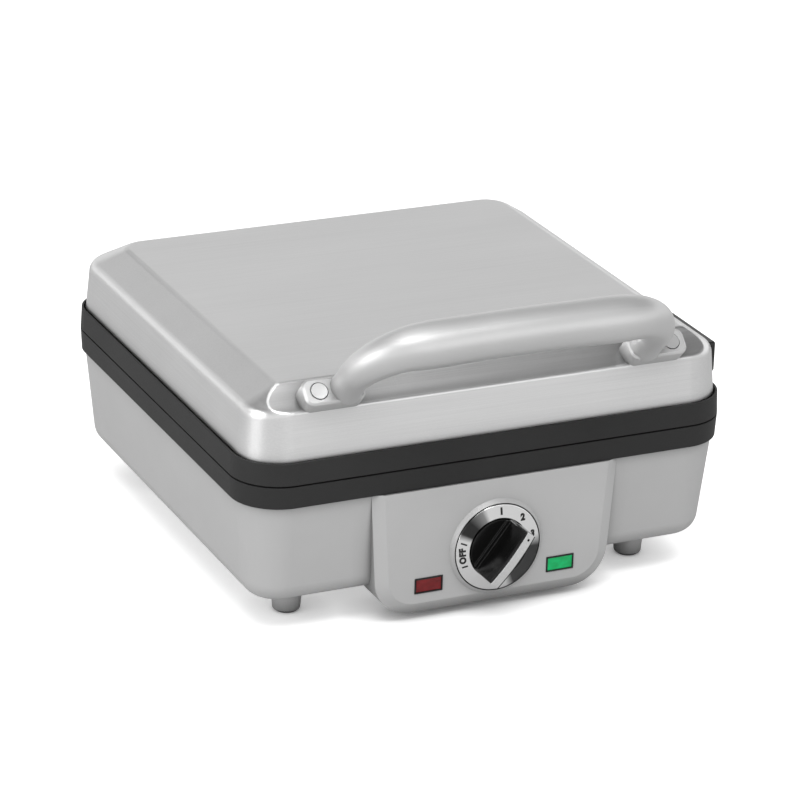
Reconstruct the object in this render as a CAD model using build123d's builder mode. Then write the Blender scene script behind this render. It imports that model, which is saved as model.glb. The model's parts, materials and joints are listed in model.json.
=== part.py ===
"""Belgian waffle maker with a hinged lid, four square waffles and removable plates.

Millimetres. +X is to the right as seen from the front, the front faces -Y and +Z is up.
The pieces are drawn round the middle of the body on the table. At the end they move
back together, so that the origin is midway between the handle and the hinge.
"""

from build123d import *
import math
import os

os.makedirs("parts", exist_ok=True)

# Body outline, taken at the seam between base and lid
body_width = 300.0
body_depth = 288.8
body_corner = 28.0
seam_height = 94.0
seam_gap = 1.0
body_setback = 7.0

# Bezels, one on each side of the seam
bezel_height = 12.7
bezel_draft = 3.0
bezel_web = 3.0
lower_skirt = 2.6
upper_rim = 1.9
ledge_width = 9.0
fit_gap = 0.15

# Lower housing
housing_wall = 2.5
housing_draft = 6.0
housing_bottom = 19.5
housing_round = 12.0
boss_radius = 4.0
boss_side_inset = 24.0
boss_end_inset = 22.4
tower_radius = 5.0
tower_top = 76.0
tower_seat = 3.0

# Feet
foot_side_inset = 41.5
foot_end_inset = 43.1
foot_top_radius = 9.6
foot_bottom_radius = 7.9
foot_soft = 1.2
pad_radius = 6.2
pad_thickness = 2.6
pad_proud = 0.8

# Lid cover
lid_wall = 1.6
lid_inset = 2.85
lid_tuck = 3.5
lid_draft = 5.3
shoulder_drop = 12.2
shoulder_width = 18.8
shoulder_front = 4.0
shoulder_corner = 14.0
top_height = 146.3
shoulder_soft = 8.0
crease_soft = 6.0
cove_reach = 22.7
cove_lip_drop = 11.3
cove_hollow = 2.0
cove_soft = 2.2

# Handle
handle_tilt = 46.0
handle_reach = 44.2
handle_bow = 2.0
grip_radius = 13.0
leg_side_inset = 58.5
leg_half_width = 9.2
leg_half_depth = 8.8
leg_straight = 10.3
handle_bend = 30.1
pad_side_inset = 51.0
pad_length = 35.5
pad_height = 15.8
pad_corner = 5.0
pad_bevel = 1.2
pad_end_inset = 4.6
pad_drop = 0.2
pad_reach = 18.0
leg_root = 4.0
bend_steps = 6
handle_screw_inset = 42.2
handle_head_radius = 4.7
handle_head_height = 2.2
handle_head_proud = 0.3
handle_head_gap = 0.4
handle_screw_radius = 2.5
handle_screw_length = 20.0
nut_radius = 4.6
nut_depth = 18.0

# Control pod on the front
pod_stand = 0.6
pod_top_half = 76.0
pod_bottom_half = 71.2
pod_bottom = 5.0
pod_corner = 23.0
pod_bevel_width = 6.8
pod_bevel_depth = 3.4
pod_wall = 3.0
pod_depth = 27.0
pod_top_gap = 0.2
pod_screw_x = 62.0
pod_screw_height = 50.0
pod_screw_length = 6.5
window_half = 56.0
window_low = 25.0
window_high = 72.0
window_depth = 20.0

# Dial and knob
dial_height = 39.6
ring_radius = 25.9
ring_hole = 17.7
ring_edge = 2.4
ring_groove = 0.6
ring_crown = 1.5
collar_radius = 28.7
collar_height = 2.2
collar_draft = 42.0
ring_soft = 0.5
knob_angle = 38.0
knob_disc = 4.2
knob_radius = 17.4
blade_length = 35.4
blade_corner = 1.5
plinth_width = 15.0
plinth_height = 1.4
knob_clearance = 0.4
knob_reach = 22.4
blade_base = 11.0
blade_edge = 7.0
blade_arch = 1.6
strip_width = 5.6
strip_thickness = 1.2
shaft_radius = 3.0
shaft_clearance = 0.05
shaft_hole = 4.0
shaft_inside = 24.0
shaft_outside = 15.0
knob_bore_gap = 0.03

# Indicator lights
lens_x = 41.0
lens_height = 22.3
lens_width = 15.4
lens_tall = 7.5
lens_border = 0.8
lens_proud = 0.4
lens_gap = 0.1
lamp_radius = 2.2
lamp_length = 17.6
lamp_ear = 1.2

# Thermostat
thermostat_width = 32.0
thermostat_tall = 26.0
thermostat_depth = 21.0
thermostat_back = 1.2
thermostat_soft = 1.8
bracket_sheet = 1.5
bracket_width = 44.0
bracket_tall = 32.0

# Waffle plates
pocket = 106.0
divider = 7.0
pocket_depth = 12.2
plate_floor = 3.5
plate_wall = 3.0
plate_draft = 8.0
plate_flange = 7.5
flange_thickness = 3.5
plate_corner = 10.0
plate_clearance = 1.0
pocket_corner = 5.0
peg_count = 4
peg_base = 19.0
peg_pitch = 24.6
peg_height = 9.6
peg_draft = 11.0
tongue_y = 66.0
tongue_width = 18.0
tongue_length = 12.0
tongue_thickness = 2.6
web_clearance = 0.25

# Heaters
element_radius = 3.25
element_half = 82.0
element_bend = 18.0
element_gap = 0.2
terminal_gap = 14.0
terminal_end = 108.0
pin_radius = 1.5
pin_length = 9.0
tray_half = 100.0
tray_brim = 108.0
tray_corner = 12.0
tray_sheet = 1.0
tray_gap = 0.8
tray_lift = 1.3
slot_gap = 0.4
slot_reach = 1.0
ear_x = 131.0
ear_y = 70.0
ear_width = 12.0
ear_end = 137.0
clip_width = 8.0
clip_half = 6.0
clip_gap = 0.1
fuse_radius = 2.2
fuse_length = 12.0
fuse_y = 40.0

# Plate releases on the right side
release_y = -104.0
lower_button_low = 66.0
lower_button_high = 74.5
lower_button_inset = 2.2
upper_button_low = 117.0
upper_button_high = 131.5
upper_button_inset = 0.5
upper_button_slope = 7.0
button_depth = 9.0
button_flange = 1.5
button_lip = 1.8
upper_flange_drop = 1.5
release_travel = 3.5
release_face_width = 27.5
bar_width = 10.0
bar_depth = 22.0
bar_thickness = 3.5
upright_x = 117.0
upright_thickness = 3.5
lug_x = 124.0
lug_thickness = 3.0
lug_half = 8.0
nose_depth = 11.5
nose_thickness = 2.4
nose_reach = 2.5
guide_x = 132.0
guide_thickness = 2.0
guide_half = 14.0
slide_gap = 0.3
spring_radius = 2.2
spring_wire = 0.7
spring_offset = 9.0
spring_bore = 2.5
spring_pocket = 5.5
guide_foot = 6.0
guide_sheet = 1.5
lower_guide_depth = 28.0
upper_guide_depth = 34.0
lower_frame_low = 64.5
lower_frame_high = 76.0
lower_frame_front = -121.0
lower_frame_back = -85.0
lower_frame_inset = 2.8
upper_frame_low = 114.5
upper_frame_high = 132.5
upper_frame_front = -119.2
upper_frame_back = -46.0
upper_frame_inset = 1.1
frame_round = 1.5
frame_bevel = 0.4
frame_slant = 45.0
upper_button_cut = 1.6

# Hinge
hinge_setback = 16.0
hinge_height = 94.0
knuckle_radius = 9.0
knuckle_width = 16.0
knuckle_x = 84.0
ear_thickness = 7.0
ear_gap = 0.4
hinge_pin_radius = 2.5
hinge_pin_clearance = 0.05
hinge_pin_head = 3.5
hinge_pin_head_height = 1.2
hinge_block_low = 62.0
hinge_block_high = 83.0
hinge_block_reach = 8.0
arm_low = 95.5
arm_high = 106.0
arm_front_inset = 1.4
arm_reach = 3.6
hinge_screw_height = 72.0
arm_screw_height = 100.6
arm_screw_length = 16.0
hinge_screw_spread = 9.0

# Cord entry and wiring block at the back
gland_x = -96.0
gland_height = 44.0
gland_bore = 3.6
gland_body = 6.0
gland_flange = 9.0
gland_inside = 8.0
gland_proud = 4.0
gland_length = 14.3
gland_nut = 4.0
terminal_width = 30.0
terminal_depth = 16.0
terminal_height = 14.0
terminal_inset = 30.4
terminal_bevel = 1.8

# Fasteners
screw_radius = 1.5
screw_head_radius = 2.9
screw_head_height = 2.2
screw_length = 12.0
screw_clearance = 0.15

# Values that follow from the ones above
half_width = body_width / 2
half_depth = body_depth / 2
boss_x = half_width - boss_side_inset
boss_y = half_depth - boss_end_inset
foot_x = half_width - foot_side_inset
foot_y = half_depth - foot_end_inset
shoulder_height = top_height - shoulder_drop
cove_back = half_depth - cove_reach
cove_lip_height = top_height - cove_lip_drop
leg_spread = half_width - leg_side_inset
pad_middle_x = half_width - pad_side_inset
pad_face_y = half_depth - pad_end_inset
pad_face_z = top_height - pad_drop
handle_screw_x = half_width - handle_screw_inset
pod_face = half_depth + pod_stand
pod_back = pod_face - pod_depth
pod_inner = pod_face - pod_wall
shaft_back = pod_face - shaft_inside
shaft_front = pod_face + shaft_outside
lower_button_face = half_width - lower_button_inset
upper_button_face = half_width - upper_button_inset
button_back = half_width - button_depth
lower_frame_face = half_width - lower_frame_inset
upper_frame_face = half_width - upper_frame_inset
hinge_block_back = half_depth + hinge_block_reach
arm_front = half_depth - arm_front_inset
arm_back = half_depth + arm_reach
terminal_y = half_depth - terminal_inset
lower_rim = seam_height - seam_gap / 2
upper_rim_face = seam_height + seam_gap / 2
lower_bezel_bottom = lower_rim - bezel_height
upper_bezel_top = upper_rim_face + bezel_height
housing_top = lower_rim - bezel_web
housing_inset = lower_skirt + fit_gap
skirt_bottom = upper_bezel_top - lid_tuck
pocket_pitch = pocket + divider
grid_half = pocket + divider / 2
plate_body_half = grid_half + plate_wall
flange_half = plate_body_half + plate_flange
opening_half = flange_half + plate_clearance
floor_depth = pocket_depth + plate_floor
element_depth = floor_depth + element_gap + element_radius
tray_floor = element_depth + element_radius + tray_lift
tray_brim_depth = floor_depth + tray_gap
hinge_y = half_depth + hinge_setback
pod_top = lower_bezel_bottom - pod_top_gap


def tapered_block(plane, width, depth, corner, height, lean=0.0):
    """Block with rounded upright edges that narrows away from its plane."""
    with BuildPart() as block:
        with BuildSketch(plane):
            RectangleRounded(width, depth, corner)
        extrude(amount=height, taper=lean)
    return block.part


def housing_block(wall):
    """All that lies inside the lower housing's outer surface, moved in by wall."""
    width = body_width - 2 * (housing_inset + wall)
    depth = body_depth - 2 * (housing_inset + wall)
    corner = body_corner - housing_inset - wall
    drop = lower_bezel_bottom - housing_bottom - wall
    with BuildPart() as block:
        with BuildSketch(Plane.XY.offset(lower_bezel_bottom)):
            RectangleRounded(width, depth, corner)
        extrude(amount=-drop, taper=housing_draft)
        fillet(block.faces().sort_by(Axis.Z)[0].edges(), housing_round - wall)
        with BuildSketch(Plane.XY.offset(lower_bezel_bottom)):
            RectangleRounded(width, depth, corner)
        extrude(amount=housing_top - lower_bezel_bottom)
    return block.part


def lid_inset_at(height):
    """How far the lid's side wall stands inside the body outline."""
    return lid_inset + (height - skirt_bottom) * math.tan(math.radians(lid_draft))


def lid_block(wall):
    """All that lies inside the lid cover's outer surface, moved in by wall."""
    shoulder_inset = lid_inset_at(shoulder_height) + wall
    top_half = half_width - shoulder_inset - shoulder_width + wall
    top_back = half_depth - shoulder_inset - shoulder_width + wall
    top_front = half_depth - shoulder_inset - shoulder_front + wall
    lip_y = -(half_depth - lid_inset_at(cove_lip_height)) + wall
    cove_y = -cove_back + wall
    low = shoulder_height - wall
    high = top_height - wall
    lip_z = cove_lip_height - wall
    with BuildPart() as block:
        with BuildSketch(Plane.XY.offset(skirt_bottom)):
            RectangleRounded(
                body_width - 2 * (lid_inset + wall),
                body_depth - 2 * (lid_inset + wall),
                body_corner - lid_inset - wall,
            )
        extrude(amount=low - skirt_bottom, taper=lid_draft)
        rim = block.faces().sort_by(Axis.Z)[-1]
        with BuildSketch(rim):
            add(rim)
        with BuildSketch(Plane.XY.offset(high)):
            with Locations((0, (top_back - top_front) / 2)):
                RectangleRounded(2 * top_half, top_back + top_front, shoulder_corner)
        loft(ruled=True)
        rim_edges = block.edges().filter_by_position(Axis.Z, low - fit_gap, low + fit_gap)
        fillet(rim_edges, shoulder_soft - wall)
        fillet(block.faces().sort_by(Axis.Z)[-1].edges(), crease_soft)
        with BuildSketch(Plane.YZ):
            with BuildLine():
                SagittaArc((cove_y, high), (lip_y, lip_z), cove_hollow)
                Polyline(
                    (lip_y, lip_z),
                    (-body_depth, lip_z),
                    (-body_depth, 2 * high),
                    (cove_y, 2 * high),
                    (cove_y, high),
                )
            make_face()
        extrude(amount=body_width, both=True, mode=Mode.SUBTRACT)
        if not wall:
            fillet(block.faces().filter_by(is_cove).edges(), cove_soft)
    return block.part


def is_cove(face):
    """True for the hollow face between the lid's flat top and its front."""
    if face.geom_type != GeomType.CYLINDER:
        return False
    centre = face.center()
    return abs(centre.X) < fit_gap and centre.Z > cove_lip_height and centre.Y < -cove_back


def half_plane(side, depth=0.0):
    """Plane parallel to the seam, depth inside the lower (-1) or upper (+1) half."""
    rim = seam_height + side * (seam_gap / 2 + depth)
    return Plane(origin=(0, 0, rim), x_dir=(1, 0, 0), z_dir=(0, 0, side))


def pod_outline(inset, top_inset=0.0):
    """The pod seen from the front, moved in by inset below and by top_inset above."""
    top = pod_top - top_inset
    with BuildSketch() as outline:
        Polygon(
            (-pod_top_half + inset, top),
            (-pod_bottom_half + inset, pod_bottom + inset),
            (pod_bottom_half - inset, pod_bottom + inset),
            (pod_top_half - inset, top),
            align=None,
        )
        fillet(outline.vertices().sort_by(Axis.Y)[:2], pod_corner - inset)
    return outline.sketch


def front_plane(distance):
    """Upright plane facing the front, distance in front of the body's middle."""
    return Plane.XZ.offset(distance)


def screw(plane, length):
    """Pan head screw: its head stands on the plane, its shank goes the other way."""
    with BuildPart() as piece:
        with BuildSketch(plane):
            Circle(screw_head_radius)
        extrude(amount=screw_head_height)
        with BuildSketch(plane):
            Circle(screw_radius)
        extrude(amount=-length)
    return piece.part


def shaft_between(start, end, radius):
    """Round bar from one point to another."""
    axis = Vector(*end) - Vector(*start)
    with BuildPart() as bar:
        with BuildSketch(Plane(origin=start, z_dir=axis)):
            Circle(radius)
        extrude(amount=axis.length)
    return bar.part


def block_between(low, high):
    """Rectangular block from its lowest to its highest corner."""
    size = [b - a for a, b in zip(low, high)]
    middle = [(a + b) / 2 for a, b in zip(low, high)]
    return Pos(*middle) * Box(*size, mode=Mode.PRIVATE)


housing_outer = housing_block(0)
housing_inner = housing_block(housing_wall)
lid_outer = lid_block(0)
lid_inner = lid_block(lid_wall)
lower_bezel_outer = tapered_block(
    half_plane(-1), body_width, body_depth, body_corner, bezel_height, bezel_draft
)
upper_bezel_outer = tapered_block(
    half_plane(1), body_width, body_depth, body_corner, bezel_height, bezel_draft
)


def inner_wall(height):
    """Distance of the lower housing's inner wall from the middle, front to back."""
    fall = (lower_bezel_bottom - height) * math.tan(math.radians(housing_draft))
    return half_depth - housing_inset - housing_wall - fall


release_low = {-1: lower_button_low, 1: upper_button_low}
release_high = {-1: lower_button_high, 1: upper_button_high}
release_face = {-1: lower_button_face, 1: upper_button_face}
flange_high = {-1: lower_button_high + button_lip, 1: upper_button_high - upper_flange_drop}
guide_depth = {-1: lower_guide_depth, 1: upper_guide_depth}
button_y = (release_y - release_face_width / 2, release_y + release_face_width / 2)
tower_depth = lower_rim - tower_top
ledge_depth = skirt_bottom - upper_rim_face


def release_window(side):
    """Block that goes through the side wall round a release button's face."""
    return block_between(
        (button_back, button_y[0] - slide_gap, release_low[side] - slide_gap),
        (body_width, button_y[1] + slide_gap, release_high[side] + slide_gap),
    )


# Lower housing with its screw towers, foot posts and openings
with BuildPart() as towers:
    with BuildSketch(Plane.XY.offset(housing_bottom)):
        with GridLocations(2 * boss_x, 2 * boss_y, 2, 2):
            Circle(tower_radius)
    extrude(amount=tower_top - housing_bottom)
    add(housing_outer, mode=Mode.INTERSECT)

with BuildPart() as lower_housing:
    add(housing_outer)
    add(housing_inner, mode=Mode.SUBTRACT)
    add(towers.part)
    with BuildSketch(Plane.XY.offset(housing_bottom)):
        with GridLocations(2 * foot_x, 2 * foot_y, 2, 2):
            Circle(screw_radius + screw_clearance)
    extrude(amount=housing_wall, mode=Mode.SUBTRACT)
    with BuildSketch(Plane.XY.offset(housing_bottom)):
        with GridLocations(2 * boss_x, 2 * boss_y, 2, 2):
            Circle(screw_head_radius + screw_clearance)
    extrude(amount=tower_top - tower_seat - housing_bottom, mode=Mode.SUBTRACT)
    with BuildSketch(Plane.XY.offset(tower_top)):
        with GridLocations(2 * boss_x, 2 * boss_y, 2, 2):
            Circle(screw_radius + screw_clearance)
    extrude(amount=-2 * tower_seat, mode=Mode.SUBTRACT)
    with BuildSketch(front_plane(half_depth - window_depth)):
        with Locations((0, (window_low + window_high) / 2)):
            Rectangle(2 * window_half, window_high - window_low)
        with Locations((-pod_screw_x, pod_screw_height), (pod_screw_x, pod_screw_height)):
            Circle(screw_radius + screw_clearance)
    extrude(amount=window_depth, mode=Mode.SUBTRACT)
    add(release_window(-1), mode=Mode.SUBTRACT)
    with BuildSketch(front_plane(window_depth - half_depth)):
        with Locations((gland_x, gland_height)):
            Circle(gland_body)
        with Locations((-knuckle_x, hinge_screw_height), (knuckle_x, hinge_screw_height)):
            with GridLocations(2 * hinge_screw_spread, 0, 2, 1):
                Circle(screw_radius + screw_clearance)
    extrude(amount=-window_depth, mode=Mode.SUBTRACT)

# One foot with the recess for its rubber pad, then all four and what holds them
with BuildPart() as foot:
    Cone(
        foot_bottom_radius,
        foot_top_radius,
        housing_bottom - pad_proud,
        align=(Align.CENTER, Align.CENTER, Align.MIN),
    )
    fillet(foot.edges().sort_by(Axis.Z)[0], foot_soft)
    with BuildSketch():
        Circle(pad_radius)
    extrude(amount=pad_thickness - pad_proud, mode=Mode.SUBTRACT)
    with BuildSketch(Plane.XY.offset(housing_bottom - pad_proud)):
        Circle(screw_radius + screw_clearance)
    extrude(amount=-screw_length, mode=Mode.SUBTRACT)

with BuildPart() as feet:
    with Locations(Pos(0, 0, pad_proud)):
        with GridLocations(2 * foot_x, 2 * foot_y, 2, 2):
            add(foot.part)

with BuildPart() as foot_screws:
    for x in (-foot_x, foot_x):
        for y in (-foot_y, foot_y):
            add(screw(Plane(origin=(x, y, housing_bottom + housing_wall)), screw_length))

with BuildPart() as rubber_feet:
    with BuildSketch():
        with GridLocations(2 * foot_x, 2 * foot_y, 2, 2):
            Circle(pad_radius)
    extrude(amount=pad_thickness)

with BuildPart() as housing_screws:
    for x in (-boss_x, boss_x):
        for y in (-boss_y, boss_y):
            seat = Plane(origin=(x, y, tower_top - tower_seat), z_dir=(0, 0, -1))
            add(screw(seat, screw_length))


def bezel_bosses(side, corner_depth):
    """Bosses under a bezel's web: four for the corner screws and four for the tray."""
    with BuildPart() as bosses:
        with BuildSketch(half_plane(side, bezel_web)):
            with GridLocations(2 * boss_x, 2 * boss_y, 2, 2):
                Circle(boss_radius)
        extrude(amount=corner_depth - bezel_web)
        with BuildSketch(half_plane(side, bezel_web)):
            with GridLocations(2 * ear_x, 2 * ear_y, 2, 2):
                Circle(boss_radius)
        extrude(amount=tray_brim_depth - bezel_web)
    return bosses.part


def bezel_openings(side, corner_depth):
    """What is cut out of a bezel: the plate's opening and the screw holes."""
    with BuildPart() as cuts:
        with BuildSketch(half_plane(side)):
            RectangleRounded(2 * opening_half, 2 * opening_half, plate_corner + plate_clearance)
        extrude(amount=bezel_height)
        with BuildSketch(half_plane(side, corner_depth)):
            with GridLocations(2 * boss_x, 2 * boss_y, 2, 2):
                Circle(screw_radius + screw_clearance)
        extrude(amount=-screw_length)
        with BuildSketch(half_plane(side, tray_brim_depth)):
            with GridLocations(2 * ear_x, 2 * ear_y, 2, 2):
                Circle(screw_radius + screw_clearance)
        extrude(amount=-screw_length)
    return cuts.part


# Lower bezel
with BuildPart() as lower_bezel:
    add(lower_bezel_outer)
    with BuildSketch(half_plane(-1, bezel_web)):
        RectangleRounded(
            body_width - 2 * lower_skirt, body_depth - 2 * lower_skirt, body_corner - lower_skirt
        )
    extrude(amount=bezel_height, mode=Mode.SUBTRACT)
    add(bezel_bosses(-1, tower_depth))
    add(bezel_openings(-1, tower_depth), mode=Mode.SUBTRACT)

# Upper bezel: a rim round the ledge that the lid's skirt stands on
with BuildPart() as upper_bezel:
    add(upper_bezel_outer)
    with BuildSketch(half_plane(1, ledge_depth)):
        RectangleRounded(
            body_width - 2 * upper_rim, body_depth - 2 * upper_rim, body_corner - upper_rim
        )
    extrude(amount=bezel_height, mode=Mode.SUBTRACT)
    with BuildSketch(half_plane(1, bezel_web)):
        ledge_inset = upper_rim + ledge_width
        RectangleRounded(
            body_width - 2 * ledge_inset, body_depth - 2 * ledge_inset, body_corner - ledge_inset
        )
    extrude(amount=bezel_height, mode=Mode.SUBTRACT)
    add(bezel_bosses(1, ledge_depth))
    add(bezel_openings(1, ledge_depth), mode=Mode.SUBTRACT)
    with BuildSketch(half_plane(1)):
        with GridLocations(2 * boss_x, 2 * boss_y, 2, 2):
            Circle(screw_head_radius + screw_clearance)
    extrude(amount=screw_head_height + screw_clearance, mode=Mode.SUBTRACT)
    with BuildSketch(front_plane(ledge_inset - half_depth)):
        with Locations((-knuckle_x, arm_screw_height), (knuckle_x, arm_screw_height)):
            with GridLocations(2 * screw_head_radius + ear_gap, 0, 2, 1):
                Circle(screw_radius + screw_clearance)
    extrude(amount=-ledge_inset, mode=Mode.SUBTRACT)


def waffle_plate(side):
    """Cast plate: flange, four pockets with their pegs, two tongues and the catch lug."""
    tongue_depth = bezel_web + web_clearance
    lug_end = lug_x + lug_thickness
    lug_start = pocket_pitch / 2
    nose_gap = nose_thickness / 2 + slide_gap
    with BuildPart() as plate:
        with BuildSketch(half_plane(side)):
            RectangleRounded(2 * flange_half, 2 * flange_half, plate_corner)
        extrude(amount=flange_thickness)
        with BuildSketch(half_plane(side)):
            RectangleRounded(2 * plate_body_half, 2 * plate_body_half, plate_corner)
        extrude(amount=floor_depth)
        with BuildSketch(half_plane(side, tongue_depth)):
            with Locations((-plate_body_half, -tongue_y), (-plate_body_half, tongue_y)):
                Rectangle(2 * tongue_length, tongue_width)
            with Locations(((lug_start + lug_end) / 2, side * release_y)):
                Rectangle(lug_end - lug_start, 2 * lug_half)
        extrude(amount=tongue_thickness)
        with BuildSketch(half_plane(side, tongue_depth)):
            with Locations((lug_x + lug_thickness / 2, side * release_y)):
                Rectangle(lug_thickness, 2 * lug_half)
        extrude(amount=nose_depth + 2 * nose_thickness - tongue_depth)
        with BuildSketch(half_plane(side, nose_depth - nose_gap)):
            with Locations((lug_x + lug_thickness / 2, side * release_y)):
                Rectangle(lug_thickness, bar_width + 2 * slide_gap)
        extrude(amount=2 * nose_gap, mode=Mode.SUBTRACT)
        with BuildSketch(half_plane(side)):
            with GridLocations(pocket_pitch, pocket_pitch, 2, 2):
                RectangleRounded(pocket, pocket, pocket_corner)
        extrude(amount=pocket_depth, taper=plate_draft, mode=Mode.SUBTRACT)
        floor = half_plane(side, pocket_depth)
        with BuildSketch(Plane(origin=floor.origin, x_dir=(1, 0, 0), z_dir=(0, 0, -side))):
            with GridLocations(pocket_pitch, pocket_pitch, 2, 2):
                with GridLocations(peg_pitch, peg_pitch, peg_count, peg_count):
                    Rectangle(peg_base, peg_base)
        extrude(amount=peg_height, taper=peg_draft)
    return plate.part


def heating_element(side):
    """Bent tube under a plate: one turn round with both ends at the back."""
    back = side * terminal_end
    edge = side * element_half
    with BuildPart() as element:
        with BuildLine(half_plane(side, element_depth)) as path:
            FilletPolyline(
                (-terminal_gap, back),
                (-terminal_gap, edge),
                (-element_half, edge),
                (-element_half, -edge),
                (element_half, -edge),
                (element_half, edge),
                (terminal_gap, edge),
                (terminal_gap, back),
                radius=element_bend / 2,
            )
        with BuildSketch(Plane(origin=path.line @ 0, z_dir=path.line % 0)):
            Circle(element_radius)
        sweep(path=path.line)
    return element.part


def element_pins(side):
    """Terminal pins in the ends of a heating element."""
    height = half_plane(side, element_depth).origin.Z
    with BuildPart() as pins:
        for x in (-terminal_gap, terminal_gap):
            start = (x, terminal_end, height)
            add(shaft_between(start, (x, terminal_end + pin_length, height), pin_radius))
    return pins.part


def element_clips(side):
    """Saddles on the tray's floor that hold the heating element on its four sides."""
    tube = element_radius + clip_gap
    floor = tray_floor - tray_sheet
    with BuildPart() as clips:
        with BuildSketch(half_plane(side, floor)):
            with Locations((-element_half, 0), (element_half, 0)):
                Rectangle(2 * clip_half, clip_width)
            with Locations((0, -side * element_half)):
                Rectangle(clip_width, 2 * clip_half)
        extrude(amount=element_depth - floor)
        for x in (-element_half, element_half):
            with BuildSketch(Plane.XZ):
                with Locations((x, half_plane(side, element_depth).origin.Z)):
                    Circle(tube)
            extrude(amount=clip_width, both=True, mode=Mode.SUBTRACT)
        with BuildSketch(Plane.YZ):
            with Locations((-element_half, half_plane(side, element_depth).origin.Z)):
                Circle(tube)
        extrude(amount=clip_width, both=True, mode=Mode.SUBTRACT)
    return clips.part


def reflector(side):
    """Sheet tray under a heating element: floor, wall, brim and four ears."""
    inner = tray_half - tray_sheet
    drop = tray_floor - tray_brim_depth
    with BuildPart() as tray:
        with BuildSketch(half_plane(side, tray_brim_depth)):
            RectangleRounded(2 * tray_brim, 2 * tray_brim, tray_corner)
            with GridLocations(0, 2 * ear_y, 1, 2):
                Rectangle(2 * ear_end, ear_width)
        extrude(amount=tray_sheet)
        with BuildSketch(half_plane(side, tray_brim_depth)):
            RectangleRounded(2 * tray_half, 2 * tray_half, tray_corner)
        extrude(amount=drop)
        with BuildSketch(half_plane(side, tray_brim_depth)):
            RectangleRounded(2 * inner, 2 * inner, tray_corner - tray_sheet)
        extrude(amount=drop - tray_sheet, mode=Mode.SUBTRACT)
        with BuildSketch(half_plane(side, tray_brim_depth)):
            with Locations((-terminal_gap, side * tray_half), (terminal_gap, side * tray_half)):
                Rectangle(
                    2 * (element_radius + slot_gap), 2 * (tray_brim - tray_half + slot_reach)
                )
        slot = element_depth + element_radius + slot_gap - tray_brim_depth
        extrude(amount=slot, mode=Mode.SUBTRACT)
        with BuildSketch(half_plane(side, tray_brim_depth)):
            with GridLocations(2 * ear_x, 2 * ear_y, 2, 2):
                Circle(screw_radius + screw_clearance)
        extrude(amount=tray_sheet, mode=Mode.SUBTRACT)
    return tray.part


def tray_screws(side):
    """Screws through the tray's ears into the bezel's bosses."""
    with BuildPart() as screws:
        for x in (-ear_x, ear_x):
            for y in (-ear_y, ear_y):
                height = half_plane(side, tray_brim_depth + tray_sheet).origin.Z
                seat = Plane(origin=(x, y, height), z_dir=(0, 0, side))
                add(screw(seat, screw_length))
    return screws.part


def spring_plane(side, x):
    """Plane across the springs of a button, x to the right of the middle."""
    middle = (release_low[side] + release_high[side]) / 2
    return Plane(origin=(x, release_y, middle), x_dir=(0, 1, 0), z_dir=(1, 0, 0))


def release_button(side):
    """Button of one piece: face, flange behind the wall, bar and the nose in the plate's lug."""
    low, high = release_low[side], release_high[side]
    bar = [half_plane(side, depth).origin.Z for depth in (bar_depth, bar_depth + bar_thickness)]
    nose = [
        half_plane(side, nose_depth + sign * nose_thickness / 2).origin.Z for sign in (-1, 1)
    ]
    bar_y = (release_y - bar_width / 2, release_y + bar_width / 2)
    upright = upright_x + upright_thickness
    with BuildPart() as button:
        add(
            block_between(
                (button_back, button_y[0], low), (release_face[side], button_y[1], high)
            )
        )
        add(
            block_between(
                (button_back, button_y[0] - button_lip, low - button_lip),
                (button_back + button_flange, button_y[1] + button_lip, flange_high[side]),
            )
        )
        add(block_between((upright_x, bar_y[0], min(bar)), (button_back, bar_y[1], max(bar))))
        add(
            block_between(
                (upright_x, bar_y[0], min(bar + nose)), (upright, bar_y[1], max(bar + nose))
            )
        )
        add(
            block_between(
                (upright_x, bar_y[0], min(nose)), (lug_x + nose_reach, bar_y[1], max(nose))
            )
        )
        with BuildSketch(spring_plane(side, button_back)):
            with GridLocations(2 * spring_offset, 0, 2, 1):
                Circle(spring_bore)
        extrude(amount=spring_pocket, mode=Mode.SUBTRACT)
    return button.part


def release_guide(side):
    """Sheet guide under the bezel's web with a slot for the button's bar."""
    foot = half_plane(side, bezel_web)
    with BuildPart() as guide:
        with BuildSketch(foot):
            with Locations((guide_x + guide_thickness / 2, side * release_y)):
                Rectangle(guide_thickness, 2 * guide_half)
        extrude(amount=guide_depth[side] - bezel_web)
        with BuildSketch(foot):
            with Locations((guide_x + guide_foot / 2, side * release_y)):
                Rectangle(guide_foot, 2 * guide_half)
        extrude(amount=guide_sheet)
        with BuildSketch(half_plane(side, bar_depth - slide_gap)):
            with Locations((guide_x + guide_thickness / 2, side * release_y)):
                Rectangle(guide_thickness, bar_width + 2 * slide_gap)
        extrude(amount=bar_thickness + 2 * slide_gap, mode=Mode.SUBTRACT)
    return guide.part


def release_springs(side):
    """Return springs between the guide and the button, drawn at their pressed length."""
    start = guide_x + guide_thickness
    stop = button_back + spring_pocket - release_travel - slide_gap
    with BuildPart() as springs:
        with BuildSketch(spring_plane(side, start)):
            with GridLocations(2 * spring_offset, 0, 2, 1):
                Circle(spring_radius)
                Circle(spring_radius - spring_wire, mode=Mode.SUBTRACT)
        extrude(amount=stop - start)
    return springs.part


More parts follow.
